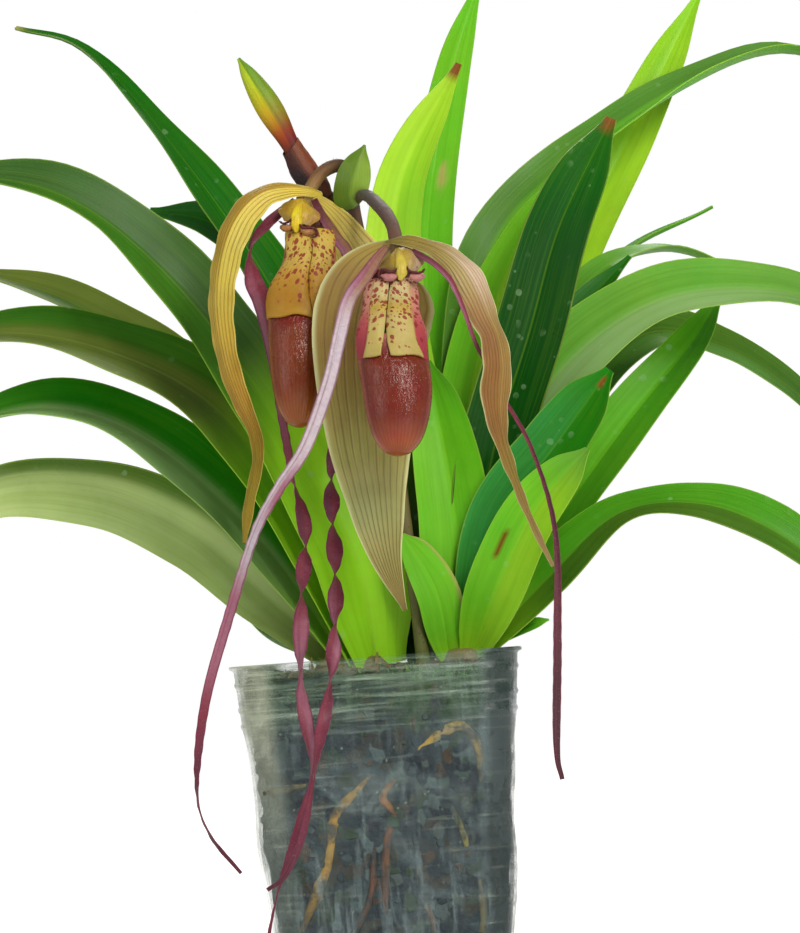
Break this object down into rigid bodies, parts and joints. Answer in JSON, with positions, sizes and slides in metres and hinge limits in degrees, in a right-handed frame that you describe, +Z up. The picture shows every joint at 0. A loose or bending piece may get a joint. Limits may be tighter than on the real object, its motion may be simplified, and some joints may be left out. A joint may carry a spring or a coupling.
{
  "type": "potted slipper orchid",
  "caption": "Slipper orchid in a square clear nursery pot: arching strap leaves, a bud, and open pouched blooms whose long narrow petals hang down.",
  "frame": {"origin": "centre of the pot's foot, on the surface the pot stands on", "axes": "+Z up, -Y towards the side the blooms face, +X to the viewer's right"},
  "size_m": [0.3932, 0.2067, 0.3865],
  "materials": {
    "clear_plastic": "clear, lightly frosted",
    "bark_mix": "damp bark chips, moss and roots",
    "leaf_green": "waxy green leaf",
    "stem_purple_brown": "matte, finely downy",
    "bract_green": "satin green",
    "bract_brown": "satin dark brown",
    "bud_lime": "satin lime with a red-brown foot",
    "sepal_tan": "olive tan with dark veins",
    "sepal_ochre": "ochre yellow with fine veins",
    "petal_maroon": "lilac to maroon",
    "pouch_maroon": "glossy red brown",
    "lobes_cream": "cream yellow with maroon spots",
    "lobes_ochre": "ochre with maroon spots",
    "column_yellow": "yellow with dark fringes"
  },
  "bodies": {
    "root": {"pot": "clear_plastic", "potting_mix": "bark_mix", "leaves_left": "leaf_green", "leaves_right": "leaf_green", "flower_stem": "stem_purple_brown", "green_bract": "bract_green", "bud_bract": "bract_brown", "bud": "bud_lime", "front_dorsal_sepal": "sepal_tan", "front_synsepal": "sepal_tan", "front_petal_left": "petal_maroon", "front_petal_right": "petal_maroon", "front_lip_pouch": "pouch_maroon", "front_lip_lobes": "lobes_cream", "front_column": "column_yellow", "rear_dorsal_sepal": "sepal_ochre", "rear_synsepal": "sepal_ochre", "rear_petal_left": "petal_maroon", "rear_petal_right": "petal_maroon", "rear_lip_pouch": "pouch_maroon", "rear_lip_lobes": "lobes_ochre", "rear_column": "column_yellow"}
  },
  "joints": []
}
